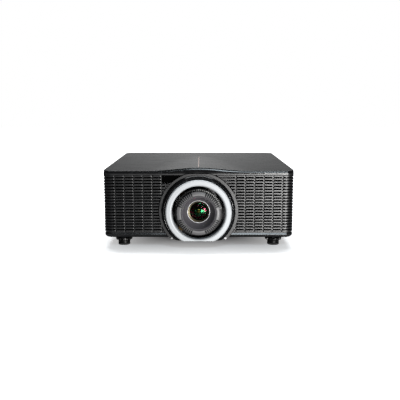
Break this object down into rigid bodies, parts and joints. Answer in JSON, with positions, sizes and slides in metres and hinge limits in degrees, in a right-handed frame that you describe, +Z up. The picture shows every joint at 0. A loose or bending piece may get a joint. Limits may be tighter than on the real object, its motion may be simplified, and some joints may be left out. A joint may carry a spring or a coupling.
{
  "type": "projector",
  "caption": "Large-venue video projector: low dark case with finned front grilles, a shifting lens inside a bright ring, rear fans and ports, and screw-adjustable feet",
  "frame": {"origin": "centre of the footprint on the surface that the four feet stand on", "axes": "+Z up; the lens looks along -Y; +X is to the right for someone facing the lens"},
  "size_m": [0.488, 0.529, 0.2095],
  "materials": {
    "case_grey": "fine-grained satin dark grey moulding",
    "lid_grey": "fine-textured satin dark grey paint",
    "gloss_black": "polished black moulding",
    "grille_grey": "satin dark grey moulding",
    "foam": "open-cell black filter foam",
    "satin_aluminium": "fine satin anodised aluminium",
    "bright_chrome": "polished thin ring",
    "coated_glass": "multi-coated optical glass",
    "lens_black": "matt black lens casing",
    "cast_metal": "as-cast and machined aluminium",
    "steel": "zinc-plated steel",
    "brass_gear": "turned brass",
    "circuit_green": "solder-masked circuit board",
    "phosphor": "phosphor-coated disc",
    "motor_black": "black oxide motor case",
    "key_grey": "satin key caps",
    "light_pipe": "clear green-tinted light pipe",
    "foot_plastic": "black glass-filled moulding",
    "pad_rubber": "black rubber",
    "trim_light": "pale inlaid line"
  },
  "bodies": {
    "root": {"base_tray": "case_grey", "front_bezel": "case_grey", "front_band": "gloss_black", "grille_left": "grille_grey", "grille_right": "grille_grey", "filter_panels": "foam", "top_cover": "lid_grey", "trim_line": "trim_light", "left_side_panel": "case_grey", "right_side_panel": "case_grey", "rear_panel": "case_grey", "io_plate": "steel", "case_screws": "steel", "ir_window": "gloss_black", "black_ring": "gloss_black", "shift_frame": "cast_metal", "vertical_motor": "motor_black", "light_engine": "cast_metal", "laser_module": "cast_metal", "heatsink": "cast_metal", "main_board": "circuit_green", "power_supply": "steel", "fan_frames": "motor_black", "hdmi_ports": "steel", "network_ports": "steel", "ac_inlet": "motor_black", "status_lights": "light_pipe"},
    "silver_ring_body": {"silver_ring": "satin_aluminium"},
    "lift_body": {"vertical_carriage": "cast_metal", "horizontal_motor": "motor_black"},
    "lift_screw_body": {"vertical_screw": "steel"},
    "lens_body": {"horizontal_carriage": "cast_metal", "lens_barrel": "lens_black", "lens_motors": "motor_black"},
    "cross_screw_body": {"horizontal_screw": "steel"},
    "focus_ring_body": {"focus_ring": "lens_black"},
    "focus_pinion_body": {"focus_pinion": "brass_gear"},
    "zoom_ring_body": {"zoom_ring": "lens_black"},
    "zoom_pinion_body": {"zoom_pinion": "brass_gear"},
    "front_cell_body": {"front_cell": "lens_black", "retaining_ring": "bright_chrome", "front_glass": "coated_glass"},
    "phosphor_wheel_body": {"phosphor_wheel": "phosphor"},
    "left_fan_body": {"left_fan_rotor": "motor_black"},
    "right_fan_body": {"right_fan_rotor": "motor_black"},
    "power_key_body": {"power_key": "key_grey"},
    "menu_key_body": {"menu_key": "key_grey"},
    "up_key_body": {"up_key": "key_grey"},
    "down_key_body": {"down_key": "key_grey"},
    "left_key_body": {"left_key": "key_grey"},
    "right_key_body": {"right_key": "key_grey"},
    "enter_key_body": {"enter_key": "key_grey"},
    "front_left_pad_body": {"front_left_pad": "pad_rubber"},
    "front_left_knob_body": {"front_left_knob": "foot_plastic"},
    "front_right_pad_body": {"front_right_pad": "pad_rubber"},
    "front_right_knob_body": {"front_right_knob": "foot_plastic"},
    "rear_left_pad_body": {"rear_left_pad": "pad_rubber"},
    "rear_left_knob_body": {"rear_left_knob": "foot_plastic"},
    "rear_right_pad_body": {"rear_right_pad": "pad_rubber"},
    "rear_right_knob_body": {"rear_right_knob": "foot_plastic"}
  },
  "joints": [
    {"name": "ring_twist", "type": "hinge", "parent": "root", "child": "silver_ring_body", "pos_m": [0, -0.25, 0.097], "axis": [0, -1, 0], "range_deg": [0, 22]},
    {"name": "lift", "type": "slide", "parent": "root", "child": "lift_body", "axis": [0, 0, 1], "range_m": [-0.0055, 0.0055]},
    {"name": "lift_screw_turn", "type": "hinge", "parent": "root", "child": "lift_screw_body", "pos_m": [0.11, -0.14, 0.1], "axis": [0, 0, 1], "range_deg": [-520, 520]},
    {"name": "shift", "type": "slide", "parent": "lift_body", "child": "lens_body", "axis": [1, 0, 0], "range_m": [-0.0035, 0.0035]},
    {"name": "cross_screw_turn", "type": "hinge", "parent": "lift_body", "child": "cross_screw_body", "pos_m": [0, -0.1245, 0.168], "axis": [1, 0, 0], "range_deg": [-330, 330]},
    {"name": "focus", "type": "hinge", "parent": "lens_body", "child": "focus_ring_body", "pos_m": [0, -0.24, 0.0955], "axis": [0, 1, 0], "range_deg": [-45, 45]},
    {"name": "focus_pinion_turn", "type": "hinge", "parent": "lens_body", "child": "focus_pinion_body", "pos_m": [-0.04455, -0.22, 0.05095], "axis": [0, 1, 0], "range_deg": [-370, 370]},
    {"name": "focus_travel", "type": "slide", "parent": "lens_body", "child": "front_cell_body", "axis": [0, -1, 0], "range_m": [-0.0031, 0.0031]},
    {"name": "zoom", "type": "hinge", "parent": "lens_body", "child": "zoom_ring_body", "pos_m": [0, -0.211, 0.0955], "axis": [0, 1, 0], "range_deg": [-40, 40]},
    {"name": "zoom_pinion_turn", "type": "hinge", "parent": "lens_body", "child": "zoom_pinion_body", "pos_m": [-0.04455, -0.21, 0.14005], "axis": [0, 1, 0], "range_deg": [-330, 330]},
    {"name": "phosphor_spin", "type": "hinge", "parent": "root", "child": "phosphor_wheel_body", "pos_m": [0.096, -0.06, 0.095], "axis": [0, 1, 0], "continuous": true},
    {"name": "left_fan_spin", "type": "hinge", "parent": "root", "child": "left_fan_body", "pos_m": [-0.169, 0.24, 0.106], "axis": [0, 1, 0], "continuous": true},
    {"name": "right_fan_spin", "type": "hinge", "parent": "root", "child": "right_fan_body", "pos_m": [-0.073, 0.24, 0.106], "axis": [0, 1, 0], "continuous": true},
    {"name": "power_key_press", "type": "slide", "parent": "root", "child": "power_key_body", "axis": [0, -1, 0], "range_m": [0, 0.001], "stiffness_N_per_m": 400, "springref_m": -0.001},
    {"name": "menu_key_press", "type": "slide", "parent": "root", "child": "menu_key_body", "axis": [0, -1, 0], "range_m": [0, 0.001], "stiffness_N_per_m": 400, "springref_m": -0.001},
    {"name": "up_key_press", "type": "slide", "parent": "root", "child": "up_key_body", "axis": [0, -1, 0], "range_m": [0, 0.001], "stiffness_N_per_m": 400, "springref_m": -0.001},
    {"name": "down_key_press", "type": "slide", "parent": "root", "child": "down_key_body", "axis": [0, -1, 0], "range_m": [0, 0.001], "stiffness_N_per_m": 400, "springref_m": -0.001},
    {"name": "left_key_press", "type": "slide", "parent": "root", "child": "left_key_body", "axis": [0, -1, 0], "range_m": [0, 0.001], "stiffness_N_per_m": 400, "springref_m": -0.001},
    {"name": "right_key_press", "type": "slide", "parent": "root", "child": "right_key_body", "axis": [0, -1, 0], "range_m": [0, 0.001], "stiffness_N_per_m": 400, "springref_m": -0.001},
    {"name": "enter_key_press", "type": "slide", "parent": "root", "child": "enter_key_body", "axis": [0, -1, 0], "range_m": [0, 0.001], "stiffness_N_per_m": 400, "springref_m": -0.001},
    {"name": "front_left_height", "type": "slide", "parent": "root", "child": "front_left_pad_body", "axis": [0, 0, 1], "range_m": [-0.015, 0.015]},
    {"name": "front_left_screw", "type": "hinge", "parent": "front_left_pad_body", "child": "front_left_knob_body", "pos_m": [-0.198, -0.1925, 0.03], "axis": [0, 0, 1], "range_deg": [-1810, 1810]},
    {"name": "front_right_height", "type": "slide", "parent": "root", "child": "front_right_pad_body", "axis": [0, 0, 1], "range_m": [-0.015, 0.015]},
    {"name": "front_right_screw", "type": "hinge", "parent": "front_right_pad_body", "child": "front_right_knob_body", "pos_m": [0.198, -0.1925, 0.03], "axis": [0, 0, 1], "range_deg": [-1810, 1810]},
    {"name": "rear_left_height", "type": "slide", "parent": "root", "child": "rear_left_pad_body", "axis": [0, 0, 1], "range_m": [-0.015, 0.015]},
    {"name": "rear_left_screw", "type": "hinge", "parent": "rear_left_pad_body", "child": "rear_left_knob_body", "pos_m": [-0.198, 0.1925, 0.03], "axis": [0, 0, 1], "range_deg": [-1810, 1810]},
    {"name": "rear_right_height", "type": "slide", "parent": "root", "child": "rear_right_pad_body", "axis": [0, 0, 1], "range_m": [-0.015, 0.015]},
    {"name": "rear_right_screw", "type": "hinge", "parent": "rear_right_pad_body", "child": "rear_right_knob_body", "pos_m": [0.198, 0.1925, 0.03], "axis": [0, 0, 1], "range_deg": [-1810, 1810]}
  ],
  "couplings": [
    {"joint": "lift_screw_turn", "follows": "lift", "rad_per_m": 1570.8},
    {"joint": "cross_screw_turn", "follows": "shift", "rad_per_m": 1570.8},
    {"joint": "focus_pinion_turn", "follows": "focus", "ratio": -8},
    {"joint": "focus_travel", "follows": "focus", "m_per_rad": 0.00382},
    {"joint": "zoom_pinion_turn", "follows": "zoom", "ratio": -8},
    {"joint": "front_left_screw", "follows": "front_left_height", "rad_per_m": 2094.4},
    {"joint": "front_right_screw", "follows": "front_right_height", "rad_per_m": 2094.4},
    {"joint": "rear_left_screw", "follows": "rear_left_height", "rad_per_m": 2094.4},
    {"joint": "rear_right_screw", "follows": "rear_right_height", "rad_per_m": 2094.4}
  ]
}
